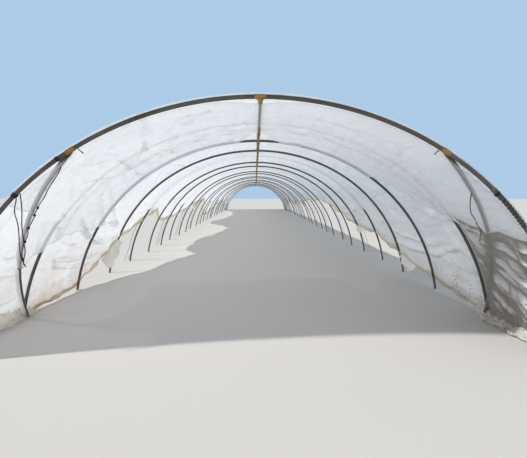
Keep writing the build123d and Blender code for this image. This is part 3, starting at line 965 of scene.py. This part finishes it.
def apron_push(girth, y):
    """How far the apron lies from the hoop's line, less than 0 inside it."""
    back, size, angle = y - FRONT, np.abs(girth), angle_of(girth)
    inset = np.interp(angle, BRACE_ANGLES, BRACE_INSETS)
    brace_back = np.interp(angle, BRACE_ANGLES, BRACE_BACKS)
    beside = np.where(angle > BRACE_TOP, np.maximum(np.abs(back - brace_back) - 0.02, 0), 9.0)
    far = 2 * BAY
    share = np.clip(back / far, 0, 1)
    rest = APRON_REST + 0.03 * np.sin(np.pi * share) * np.clip(size / 0.8, 0.3, 1)
    tent = np.maximum(inset + TUBE_R + APRON_SKIN - rest, 0) * np.exp(-beside / 0.12)
    under_ridge = np.maximum(UNDER_RIDGE - rest, 0) * bell(girth, 0.28)
    loose = (1 - bell(girth, 0.2)) * np.clip((back - TUBE_R) / 0.3, 0, 1)
    loose = loose * (1 - bell(beside, 0.14))
    loose = loose * np.clip((far - back) / 0.15 + 0.3, 0.3, 1)
    swell = 0.035 * waves(girth, y, 8, 0.5, 2.0, 33)
    creases = crease_field(girth, y, APRON_MARKS)
    soft = loose * (swell + creases + fold_field(girth, y, APRON_FOLDS))
    return -rest - tent - under_ridge + np.clip(soft, -0.05, rest - 0.02)


def apron():
    rows = rows_between(FRONT + TUBE_R + 0.001, APRON_END, 0.02)
    left, right = apron_edge(APRON_LEFT, rows), apron_edge(APRON_RIGHT, rows)
    girth, y = film_grid(rows, left, right, 340)
    push = apron_push(girth, y)
    points = place(girth, y, push)
    back = (y[:-1, :-1] - hoop_y(1) - 0.06) / (APRON_END - hoop_y(1) - 0.06)
    cell_x = points[:-1, :-1, 0]
    keep = (np.abs(cell_x) > NOTCH_HALF * np.clip(back, 0, 1) - 0.001) | (back < 0)
    piece = grid_piece("front_apron", points, girth, y, apron_finish, keep, push)
    strips = ["front_apron_crown_film"]
    for kind in ("shoulder", "side"):
        strips += [f"front_{word}_apron_{kind}_film" for word in ("left", "right")]
    flat = (APRON_WIDTH, round(APRON_END - FRONT, 3))
    declare_sheet(piece, flat, strips)


apron()

# %% [markdown]
# Loose ropes are curves, each one open spline with listed points. Two strands hang from a
# knot on the front hoop and one lies along each front brace. A strand's points are millimetres
# across, back and down from its knot. Along a brace they are degrees down the hoop from the ridge,
# and millimetres inwards and back from the brace.

# %% Loose ropes
CORD = 0.01
SEAT = TUBE_R + 0.0003
LONG_ANGLE, SHORT_ANGLE = math.radians(44.6), math.radians(43.6)
LONG_STRAND = [(0, -1, 0), (2, -8, 45), (-17, -12, 102), (-20, -8, 160), (1, -2, 245), (4, 4, 345),
               (1, 2, 448), (6, -4, 545), (21, -2, 621), (51, 4, 685)]
SHORT_STRAND = [(0, 1, 0), (-1, 14, 66), (-2, 18, 131), (-4, 22, 196), (-14, 24, 271),
                (-16, 26, 345), (-11, 28, 421), (-6, 26, 484), (12, 20, 581), (-13, 14, 657)]
LEFT_BRACE_ROPE = [(35.5, 26.6, 0), (37, 28, 30), (38.8, 32, 26), (40.6, 22, 48), (42, 16, 62),
                   (43.2, 20, 74), (44.4, 18, 70), (46, 14, 52), (47, 31, 30), (47.9, 34, 8),
                   (49, 28, 48), (50.2, 35, 20), (51.4, 35, 2), (52.5, 35, -12), (53.7, 31, 30),
                   (55.2, 34, 12), (56.8, 34, -16), (59, 34, -24), (60.8, 36, -10), (61.8, 38, 30),
                   (63.2, 33, 34)]
RIGHT_BRACE_ROPE = [(42.5, 26.6, 0), (43.9, 18, 80), (45.6, 14, 150), (47.4, 12, 205),
                    (49, 10, 225), (50.2, 12, 165), (51.8, 12, 190), (53.2, 16, 100),
                    (55, 14, 170), (57, 14, 205)]


def strand_route(points, angle):
    seat = SEAT + CORD / 2 * math.sin(angle)
    top = arch(-seat, angle, -1, FRONT)
    return [top + Vector((a, b, -c)) / 1000 for a, b, c in points]


def brace_rope_route(points, side):
    arc, low, high = brace_arc(side)
    route = []
    for degrees, inward, back in points:
        angle = math.radians(degrees)
        here = arc((low - angle) / (low - high))
        shift = Vector((-side * inward * math.sin(angle), back, -inward * math.cos(angle)))
        route.append(here + shift / 1000)
    return route


def rope_curve(name, route):
    data = bpy.data.curves.new(name, "CURVE")
    data.dimensions = "3D"
    data.bevel_depth = CORD / 2
    data.bevel_resolution = 3
    data.resolution_u = 8
    data.use_fill_caps = True
    spline = data.splines.new("NURBS")
    spline.points.add(len(route) - 1)
    for point, at in zip(spline.points, route):
        point.co = (*at, 1)
    spline.order_u = 3
    spline.use_endpoint_u = True
    data.materials.append(rope_finish)
    return put_in_scene(name, data)


def loose_rope(name, node, route):
    piece = rope_curve(name, route)
    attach(piece, "root")
    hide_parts(node)
    print(name, len(route), "points, starts at", [round(v, 3) for v in route[0]])


ropes = [
    ("rope_long_strand", "front_left_rope_long", strand_route(LONG_STRAND, LONG_ANGLE), 0.7),
    ("rope_short_strand", "front_left_rope_short", strand_route(SHORT_STRAND, SHORT_ANGLE), 0.664),
    ("rope_left_brace", "front_left_brace_rope", brace_rope_route(LEFT_BRACE_ROPE, -1), 1.74),
    ("rope_right_brace", "front_right_brace_rope", brace_rope_route(RIGHT_BRACE_ROPE, 1), 1.112),
]
for name, node, route, length in ropes:
    loose_rope(name, node, route)

# %% [markdown]
# Tape is wound round the tubes where they cross. A wrap is a short sleeve that follows the hoop's
# arc: its rings are uneven, wider in the middle, with the wound edges showing as steps.

# %% Tape wraps
WRAP_R, WRAP_RINGS = TUBE_R + 0.0045, 15


def sleeve(name, centres, directions, radii, mat, sides=14, lumps=0.1):
    """A closed sleeve round a line, with its own radius at each ring."""
    points = []
    for centre, ahead, radius in zip(centres, directions, radii):
        across_axis = Vector((0, 1, 0)) if abs(ahead.y) < 0.9 else Vector((1, 0, 0))
        u = ahead.cross(across_axis).normalized()
        v = ahead.cross(u).normalized()
        for k in range(sides):
            turn = 2 * math.pi * k / sides
            lump = 1 + lumps * noise.noise(centre * 45 + Vector((k * 0.7, 0, 0)))
            points.append(centre + radius * lump * (math.cos(turn) * u + math.sin(turn) * v))
    return tube_piece(name, points, len(centres), sides, mat)


def hoop_wrap(name, angle, side, half_width):
    centres, directions, radii = [], [], []
    for k in range(WRAP_RINGS):
        share = 2 * k / (WRAP_RINGS - 1) - 1
        here = angle + share * half_width / CROWN_R
        centres.append(arch(0, abs(here), side if here >= 0 else -side, FRONT))
        directions.append(hoop_direction(here, side))
        wound = 0.0016 * ((k * 0.5) % 1)
        radii.append((WRAP_R + wound) * (1 - 0.12 * share**4))
    return sleeve(name, centres, directions, radii, tape_finish)


def finish_trim(trims):
    for piece in trims:
        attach(piece, "root")


wraps = [hoop_wrap("apex_tape", 0, 1, 0.055)]
for side, word in ((-1, "left"), (1, "right")):
    wraps.append(hoop_wrap(f"{word}_brace_tape", BRACE_TOP, side, 0.05))
finish_trim(wraps)
print("tape wraps", len(wraps))

# %% [markdown]
# The ridge tube is bound along its length with faded tape and twine: a long sleeve whose radius
# steps up and down like wound tape, thicker where it ties each hoop.


# %% Ridge binding
def ridge_binding():
    low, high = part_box("ridge_purlin")
    radius = (high.x - low.x) / 2
    height = (low.z + high.z) / 2
    ys = rows_between(hoop_y(1) - 0.03, REAR - 0.4, 0.02)
    centres, directions, radii = [], [], []
    for y in map(float, ys):
        to_hoop = abs(((y - FRONT) / BAY + 0.5) % 1 - 0.5) * BAY
        wound = 0.003 * ((y / 0.055) % 1)
        loose = 0.016 * abs(noise_at(0.3, y * 4.5, 0.7))
        tie = 0.005 * math.exp(-((to_hoop / 0.05) ** 2))
        sway = 0.007 * noise_at(y * 2.6, 4.0, 0.2)
        centres.append(Vector((sway, y, height - 0.002 + 0.4 * sway)))
        directions.append(Vector((0, 1, 0)))
        radii.append(radius + 0.001 + wound + loose + tie)
    return sleeve("ridge_binding", centres, directions, radii, tape_finish, sides=10)


finish_trim([ridge_binding()])

# %% [markdown]
# At the ridge the tape of the front hoop runs on down round the end of the ridge tube, so that
# from the front it looks like a T. It is a short funnel, wide at the hoop and narrow below it.


# %% Tape at the ridge
def ridge_funnel():
    top = Vector((0, FRONT, RISE - TUBE_R * 0.4))
    centres, directions, radii = [], [], []
    for k in range(12):
        share = k / 11
        centres.append(top + Vector((0.002 * math.sin(k * 2.0), -0.002 * share, -0.058 * share)))
        directions.append(Vector((0, 0, -1)))
        radii.append(0.034 - 0.014 * share**0.7 + 0.0016 * (k % 2))
    return sleeve("ridge_tape", centres, directions, radii, tape_finish)


finish_trim([ridge_funnel()])

# %% [markdown]
# Cord is wound round the front hoop in three places, and knots sit along the rope on the left
# brace. All of them are coils: a thin round section carried along a helix, a little uneven from
# turn to turn.

# %% Windings and knots
TURN_POINTS, KNOT_LENGTH, KNOT_R, KNOT_CORD = 16, 0.024, 0.0085, 0.0055


def ring_tube(name, centres, cord_r, mat, sides=6):
    """A closed tube through points, each given with a direction square to the tube."""
    steps = len(centres) - 1
    points = []
    for k, (centre, around) in enumerate(centres):
        before, after = centres[max(k - 1, 0)][0], centres[min(k + 1, steps)][0]
        tangent = (after - before).normalized()
        other = tangent.cross(around).normalized()
        for s in range(sides):
            turn = 2 * math.pi * s / sides
            points.append(centre + cord_r * (math.cos(turn) * around + math.sin(turn) * other))
    return tube_piece(name, points, len(centres), sides, mat)


def coil(name, line, turns, coil_r, cord_r):
    """A cord wound round a line, which gives a point, its direction and a side direction."""
    steps = round(turns * TURN_POINTS)
    centres = []
    for k in range(steps + 1):
        share = k / steps
        middle, ahead, aside = line(share)
        turn = 2 * math.pi * turns * share
        around = math.cos(turn) * aside + math.sin(turn) * ahead.cross(aside)
        loose = 1 + 0.16 * noise_at(share * 7, turn * 0.4, coil_r * 90)
        centres.append((middle + coil_r * loose * around, around))
    return ring_tube(name, centres, cord_r, rope_finish)


def along_hoop(side, first, last):
    """A line along the front hoop between two angles in degrees."""
    def line(share):
        angle = math.radians(first + (last - first) * share)
        here = arch(0, angle, side, FRONT)
        return here, hoop_direction(angle, side), hoop_outward(angle, side)

    return line


def across_rope(at, ahead, length):
    ahead = ahead.normalized()
    aside = ahead.cross(Vector((0.3, 1, 0.2))).normalized()

    def line(share):
        return at + ahead * length * (share - 0.5), ahead, aside

    return line


windings = [
    coil("left_hoop_lashing", along_hoop(-1, 44.0, 44.9), 3, TUBE_R + 0.004, 0.005),
    coil("right_hoop_lashing", along_hoop(1, 45.6, 52.5), 9, TUBE_R + 0.0035, 0.0045),
    coil("right_joint_wire", along_hoop(1, 43.6, 44.2), 4, TUBE_R + 0.0075, 0.003),
    coil("left_high_lashing", along_hoop(-1, 33.6, 34.4), 3, TUBE_R + 0.003, 0.004),
]
brace_rope = brace_rope_route(LEFT_BRACE_ROPE, -1)
for k, spot in enumerate((7, 9, 12, 15, 18)):
    at = (brace_rope[spot] + brace_rope[spot + 1]) / 2
    ahead = brace_rope[spot + 1] - brace_rope[spot]
    line = across_rope(at, ahead, KNOT_LENGTH)
    windings.append(coil(f"rope_knot_{k + 1}", line, 3, KNOT_R, KNOT_CORD))
finish_trim(windings)
print("windings and knots", len(windings))

# %% [markdown]
# The lower edge of the apron is rolled over a few times, and the roll catches the light as a pale
# line. It follows the film's own edge, so it reads the same edge and push as the film does.

# %% Rolled edge of the apron
ROLL_R = 0.007


def apron_roll(name, side, pairs):
    rows = rows_between(FRONT + TUBE_R + 0.004, APRON_END - 0.004, 0.02)
    girth = side * apron_edge(pairs, rows)
    push = apron_push(girth[:, None], rows[:, None])[:, 0]
    edge = place(girth, rows, push - 0.003)
    centres = []
    for at, g in zip(edge, girth):
        angle = float(angle_of(np.array(abs(g))))
        centres.append((Vector(at), hoop_outward(angle, side)))
    return ring_tube(name, centres, ROLL_R, apron_finish)


rolls = [
    apron_roll("apron_left_roll", -1, APRON_LEFT),
    apron_roll("apron_right_roll", 1, APRON_RIGHT),
]
finish_trim(rolls)

# %% [markdown]
# The right half of the front hoop is two lengths of tube. They meet in a sleeve, slightly wider
# than the tube, with a rolled bead at each end. The pins by the brace tapes are bolts that
# hold the braces: each starts as a cylinder, gets a bevelled end and a head.

# %% Tube joint and pins
JOINT_START, JOINT_TURN, JOINT_RINGS = 42.6, 2.8, 17
BEAD_OUT, SLEEVE_OUT, END_OUT = 0.0065, 0.004, 0.0005
PIN_R, PIN_LENGTH, PIN_HEAD, PIN_HEAD_SCALE = 0.0055, 0.075, 0.006, 1.7


def joint_sleeve():
    centres, directions, radii = [], [], []
    last = JOINT_RINGS - 1
    for k in range(JOINT_RINGS):
        angle = math.radians(JOINT_START + JOINT_TURN * k / last)
        centres.append(arch(0, angle, 1, FRONT))
        directions.append(hoop_direction(angle, 1))
        thick = BEAD_OUT if k in (1, 2, 14, 15) else SLEEVE_OUT if 0 < k < last else END_OUT
        radii.append(TUBE_R + thick)
    return sleeve("hoop_joint", centres, directions, radii, steel)


def brace_pin(name, side):
    start = arch(-TUBE_R * 0.6, BRACE_TOP + math.radians(-1.2), side, FRONT - 0.012)
    lean = Vector((-side * 0.75, -0.1, -0.65)).normalized()
    middle = start + lean * 0.035
    bpy.ops.object.select_all(action="DESELECT")
    bpy.ops.mesh.primitive_cylinder_add(
        vertices=12, radius=PIN_R, depth=PIN_LENGTH, location=middle
    )
    pin = bpy.context.active_object
    pin.name = name
    pin.rotation_mode = "QUATERNION"
    pin.rotation_quaternion = lean.to_track_quat("Z", "Y")
    bpy.ops.object.mode_set(mode="EDIT")
    bpy.ops.mesh.select_all(action="DESELECT")
    bpy.ops.object.mode_set(mode="OBJECT")
    head = max(pin.data.polygons, key=lambda face: face.center.z)
    head.select = True
    bpy.ops.object.mode_set(mode="EDIT")
    bpy.ops.mesh.select_mode(type="FACE")
    bpy.ops.mesh.extrude_region_move(TRANSFORM_OT_translate={"value": (0, 0, 0)})
    bpy.ops.transform.resize(
        value=(PIN_HEAD_SCALE,) * 3, center_override=tuple(start + lean * 0.0725)
    )
    bpy.ops.mesh.extrude_region_move(TRANSFORM_OT_translate={"value": tuple(lean * PIN_HEAD)})
    bpy.ops.object.mode_set(mode="OBJECT")
    bevel = pin.modifiers.new("soft_edges", "BEVEL")
    bevel.width = 0.0012
    bevel.segments = 2
    bpy.ops.object.modifier_apply(modifier="soft_edges")
    bpy.ops.object.transform_apply(location=True, rotation=True, scale=True)
    pin.data.materials.append(steel)
    face_outward(pin)
    return pin


finish_trim(
    [joint_sleeve(), brace_pin("left_brace_pin", -1), brace_pin("right_brace_pin", 1)]
)

# %% [markdown]
# The front edge of the cover is turned over and rolled, and shows as a thin white line all along
# the outside of the front hoop. It is a narrow uneven sleeve just in front of the hoop's outer
# side.

# %% Rolled front edge
EDGE_STEPS, EDGE_AHEAD, EDGE_R = 360, 0.024, 0.0052


def front_roll():
    centres, directions, radii = [], [], []
    foot = math.degrees(angle_at(0.03, 0.012))
    for k in range(EDGE_STEPS + 1):
        degrees = -foot + 2 * foot * k / EDGE_STEPS
        angle, side = math.radians(abs(degrees)), 1 if degrees >= 0 else -1
        lift = 0.0025 * noise_at(degrees * 0.4, 0.2, 0.5)
        low = max(0.0, min(1.0, (abs(degrees) - 53) / 4))
        out = TUBE_R + 0.004 + lift + 0.02 * low
        centres.append(arch(out, angle, side, FRONT - EDGE_AHEAD))
        directions.append(hoop_direction(angle, side) * side)
        radii.append(EDGE_R + 0.0014 * noise_at(degrees * 0.5, 3.1, 0.5))
    return sleeve("front_edge_roll", centres, directions, radii, edge_finish, sides=8, lumps=0.02)


finish_trim([front_roll()])

# %% [markdown]
# Spare film lies crumpled along the foot of the cover at the front, dusty and cream, and a few
# torn corners hang below the hem. Each is a small sheet of its own: a grid with folds much tighter
# than those of the cover.

# %% Crumpled film at the feet
FOOT_X, FOOT_LENGTH = 3.285, 1.75


def loose_sheet(name, rows, columns, place_at, flat, mat=spare_finish):
    """A small sheet from a function of two shares, 0 to 1, that gives each point."""
    points = np.array([
        [tuple(place_at(r / (rows - 1), c / (columns - 1))) for c in range(columns)]
        for r in range(rows)
    ])
    girth = np.repeat(np.linspace(0, flat[0], columns)[None, :], rows, axis=0)
    y = np.repeat(np.linspace(0, flat[1], rows)[:, None], columns, axis=1)
    points[..., 2] = np.maximum(points[..., 2], FLOOR_GAP)
    declare_sheet(grid_piece(name, points, girth, y, mat), flat)


def crumpled_foot(side, seed, width):
    def place_at(along, out):
        y = FRONT - 0.02 + FOOT_LENGTH * along
        ragged = 0.3 * noise_at(seed, along * 5.0, 1.0)
        narrow = 0.5 + 0.4 * math.sin(math.pi * min(1, along * 1.1)) ** 0.6 + ragged
        x = FOOT_X - (width * narrow) * (1 - out)
        fold = noise_at(x * 9 + seed, y * 4.5, 0.3)
        small = noise_at(x * 24 + seed, y * 13, 4.3)
        rise = 0.12 * out**2 + 0.13 * abs(fold) * (0.3 + out) + 0.05 * abs(small)
        rise *= 0.25 + 0.75 * math.sin(math.pi * min(1, 0.08 + along * 0.92)) ** 0.5
        return Vector((side * (x + 0.03 * small), y + 0.02 * fold, 0.004 + rise))

    return place_at


loose_sheet("left_foot_film", 110, 26, crumpled_foot(-1, 3.0, 0.11), (0.36, 1.95))
loose_sheet("right_foot_film", 110, 26, crumpled_foot(1, 9.0, 0.27), (0.5, 1.95))

# %% [markdown]
# The torn corners hang from the hem between two hoops. Their points start on the film's edge and
# drop with a curl.


# %% Torn corners below the hem
def torn_corner(side, pairs, first_y, last_y, drop, curl):
    def place_at(down, along):
        y = first_y + (last_y - first_y) * along
        height = float(edge_height(pairs, np.array([y]))[0]) + 0.02
        girth = side * girth_at(np.array([height]))
        push = cover_push(girth[:, None], np.array([[y]]), [])[0, 0]
        edge = place(girth, np.array([y]), push - 0.012)[0]
        reach = drop * (1 - abs(2 * along - 0.8) ** 1.6 / 2)
        ripple = 0.03 * down * math.sin(along * 15 + 4 * down)
        inward = -side * (curl * down**2 + ripple)
        return Vector((edge[0] + inward, y + 0.05 * down * (0.5 - along), edge[2] - reach * down))

    return place_at


corners = [
    ("right_corner_a", 1, RIGHT_EDGE, FRONT + 3.7, FRONT + 4.4, 0.17, 0.08),
    ("right_corner_b", 1, RIGHT_EDGE, FRONT + 7.0, FRONT + 7.5, 0.2, 0.05),
    ("left_corner_a", -1, LEFT_EDGE, FRONT + 3.8, FRONT + 4.45, 0.28, 0.12),
    ("left_corner_b", -1, LEFT_EDGE, FRONT + 12.2, FRONT + 12.8, 0.3, 0.06),
]
for name, side, pairs, first_y, last_y, drop, curl in corners:
    flat = (round(last_y - first_y + 0.05, 2), round(drop + 0.06, 2))
    loose_sheet(name, 16, 24, torn_corner(side, pairs, first_y, last_y, drop, curl), flat)

# %% [markdown]
# Below the apron on the right, a slack skirt of dirty film hangs inside the brace down to the
# ground, so only the leg of the second hoop shows there. Its dark colour is partly dirt and partly
# painted shade. It goes on from the apron's edge with the same push, its rear edge swings out to
# end just in front of that leg, and its folds fan out from the leg's top.

# %% Skirt inside the right brace
SKIRT_END = hoop_y(1) - 0.06
LEG_SIDE = 0.075
SKIRT_FOLDS = [
    (0.03, -0.06, [(2.89, 1.46), (3.2, 1.04), (3.47, 0.84), (3.67, 0.59), (3.81, 0.39),
                   (3.95, 0.05)]),
    (0.035, -0.06, [(3.0, 1.4), (3.49, 1.17), (3.81, 0.94), (4.01, 0.65), (4.08, 0.49),
                    (4.2, 0.1)]),
    (0.03, 0.04, [(2.95, 1.38), (3.34, 1.05), (3.62, 0.88), (3.84, 0.62), (4.0, 0.2)]),
    (0.025, -0.04, [(3.1, 1.0), (3.29, 0.71), (3.44, 0.45), (3.53, 0.25), (3.6, 0.05)]),
    (0.04, -0.04, [(3.1, 1.42), (3.34, 1.36), (3.75, 1.32), (4.09, 1.13), (4.3, 0.8)]),
    (0.03, 0.035, [(3.2, 1.4), (3.55, 1.25), (3.95, 0.95), (4.2, 0.5)]),
    (0.03, -0.03, [(3.24, 0.48), (3.32, 0.29), (3.36, 0.1)]),
]
SKIRT_MARKS = random_creases(
    random.Random(51), 150, (3.0, 4.4), (FRONT, SKIRT_END), (0.3, 1.0), (0.012, 0.04), 0.02,
    (1.9, 2.8),
)


def skirt_push(girth, y):
    """The apron's push with the skirt's folds, clear of the brace and out of the leg's sight."""
    angle = angle_of(girth)
    off_brace = np.abs(y - FRONT - np.interp(angle, BRACE_ANGLES, BRACE_BACKS))
    near = bell(np.maximum(off_brace - 0.02, 0), 0.1)
    below = np.clip((girth - apron_edge(APRON_RIGHT, y)) / 0.1, 0, 1)
    folds = fold_field(girth, y, SKIRT_FOLDS) + crease_field(girth, y, SKIRT_MARKS)
    push = apron_push(girth, y) + folds * below * (1 - near)
    clear = -np.interp(angle, BRACE_ANGLES, BRACE_INSETS) - TUBE_R - 0.0025
    clear = clear + 2.5 * np.maximum(off_brace - TUBE_R - 0.003, 0)
    line = place(girth, y, 0.0)
    outward = line[..., 0] * np.sin(angle) + (line[..., 2] - EYE[2]) * np.cos(angle)
    beside_leg = LEG_SIDE - outward / (hoop_y(1) - EYE[1]) * (hoop_y(1) - y)
    push = np.maximum(push, np.minimum(beside_leg, clear))
    return np.minimum(push, cover_push(girth, y, COVER_MARKS) - 0.008)


def skirt():
    rows, columns = 120, 130
    first = FRONT + TUBE_R + 0.001
    down = np.linspace(0, 1, columns)[None, :]
    y = first + (SKIRT_END - 0.1 * (1 - down) - first) * np.linspace(0, 1, rows)[:, None]
    top = apron_edge(APRON_RIGHT, y) + 0.001
    low = girth_at(0.05 + 0.02 * np.sin(y * 9.0) + 0.01 * np.sin(y * 31.0), -0.05)
    girth = top + (low - top) * down
    push = skirt_push(girth, y)
    # A weaker push for the flank attribute, so the painted shade and highlights on the skirt's
    # folds are milder.
    skirt_shade_push = 0.4 * push
    piece = grid_piece("right_skirt", place(girth, y, push), girth, y, skirt_shaded_finish, None, skirt_shade_push)
    declare_sheet(piece, (1.45, 1.55))


skirt()

# %% [markdown]
# A loose strip of film hangs along the lower part of the left brace and covers its outer half.

# %% Film strip along the left brace
STRIP_OUT = Vector((-0.2, -0.98, 0))
STRIP_NEAR = Vector((0.51, -0.86, 0))


def strip_at(along, around):
    arc, _, _ = brace_arc(-1)
    ruffle = noise_at(along * 14, around * 2, 2.0)
    sideways = -0.004 + (0.064 + 0.014 * ruffle) * around
    nearer = TUBE_R + 0.002 + 0.008 * abs(noise_at(along * 9, around * 4, 6.0))
    return arc(0.02 + 0.33 * along) + nearer * STRIP_NEAR + sideways * STRIP_OUT


loose_sheet("left_brace_strip", 150, 12, strip_at, (0.08, 0.95), edge_finish)

# %% [markdown]
# The floor and the light. Sun comes from the upper left, as in the photograph, and a pale sky
# fills the shadows. The background is the colour of the world for camera rays alone, so it can be
# pale without putting more light on the film.

# %% Floor, sun and sky
bpy.ops.object.select_all(action="DESELECT")
bpy.ops.mesh.primitive_plane_add(size=240, location=(0, 0, -0.001))
floor = bpy.context.active_object
floor.name = "floor"
floor.data.materials.append(new_material("pale_floor", (0.52, 0.5, 0.475), 0.9)[0])

sun_data = bpy.data.lights.new("sun", "SUN")
sun_data.energy = 3.15
sun_data.angle = math.radians(3)
sun_data.color = (1.0, 0.97, 0.93)
sun = put_in_scene("sun", sun_data)
sun.rotation_mode = "QUATERNION"
sun.rotation_quaternion = Vector((0.8, 0.3, -1.0)).to_track_quat("-Z", "Y")

world = bpy.data.worlds.new("sky")
bpy.context.scene.world = world
world.use_nodes = True
sky_tree = world.node_tree
light_sky = sky_tree.nodes["Background"]
light_sky.inputs["Color"].default_value = (0.82, 0.9, 1.0, 1)
light_sky.inputs["Strength"].default_value = 0.7
seen_sky = sky_tree.nodes.new("ShaderNodeBackground")
seen_sky.inputs["Color"].default_value = (0.42, 0.6, 0.8, 1)
seen_sky.inputs["Strength"].default_value = 1.0
path = sky_tree.nodes.new("ShaderNodeLightPath")
seen = sky_tree.nodes.new("ShaderNodeMath")
seen.operation = "MAXIMUM"
link(sky_tree, path.outputs["Is Camera Ray"], seen.inputs[0])
link(sky_tree, path.outputs["Is Glossy Ray"], seen.inputs[1])
mixer = sky_tree.nodes.new("ShaderNodeMixShader")
link(sky_tree, seen.outputs[0], mixer.inputs["Fac"])
link(sky_tree, light_sky.outputs["Background"], mixer.inputs[1])
link(sky_tree, seen_sky.outputs["Background"], mixer.inputs[2])
link(sky_tree, mixer.outputs["Shader"], sky_tree.nodes["World Output"].inputs["Surface"])
bpy.context.scene.view_settings.view_transform = "Standard"

# %% Update the scene
bpy.context.view_layer.update()
